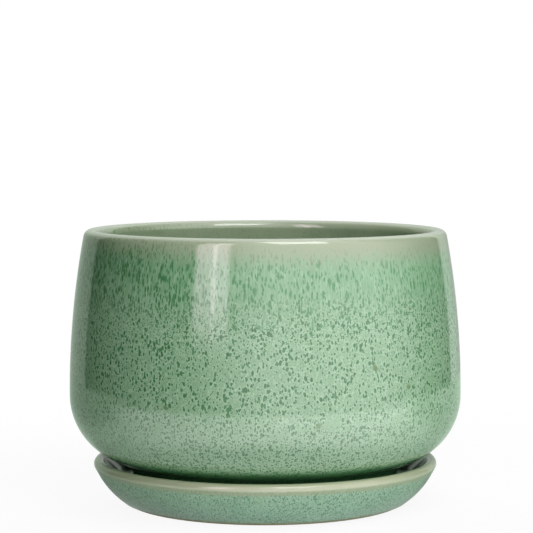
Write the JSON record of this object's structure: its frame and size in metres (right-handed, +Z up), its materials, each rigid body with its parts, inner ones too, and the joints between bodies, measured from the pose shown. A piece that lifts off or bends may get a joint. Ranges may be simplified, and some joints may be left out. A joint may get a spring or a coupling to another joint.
{
  "type": "flower pot with saucer",
  "caption": "Round glazed stoneware flower pot that narrows to a rounded lip, with a screened drain hole, standing loose in a shallow matching saucer that catches the water.",
  "frame": {"origin": "on the pot's axis, on the surface that the saucer's pads stand on", "axes": "+Z up along the pot's axis, +X to the right seen from the front, +Y to the back"},
  "size_m": [0.206, 0.206, 0.1447],
  "materials": {
    "pot_glaze": "glossy mint glaze with darker green speckles, bare clay foot",
    "saucer_glaze": "glossy sage green glaze, bare clay foot",
    "screen_plastic": "moulded matte black mesh",
    "pad_rubber": "moulded matte rubber"
  },
  "bodies": {
    "saucer": {"saucer": "saucer_glaze", "saucer_pad_1": "pad_rubber", "saucer_pad_2": "pad_rubber", "saucer_pad_3": "pad_rubber", "saucer_pad_4": "pad_rubber"},
    "pot": {"pot_body": "pot_glaze"},
    "screen": {"drain_screen": "screen_plastic"}
  },
  "joints": [
    {"name": "pot_lift", "type": "slide", "parent": "saucer", "child": "pot", "axis": [0, 0, 1], "range_m": [0, 0.12]},
    {"name": "screen_lift", "type": "slide", "parent": "pot", "child": "screen", "axis": [0, 0, 1], "range_m": [0, 0.16]}
  ]
}
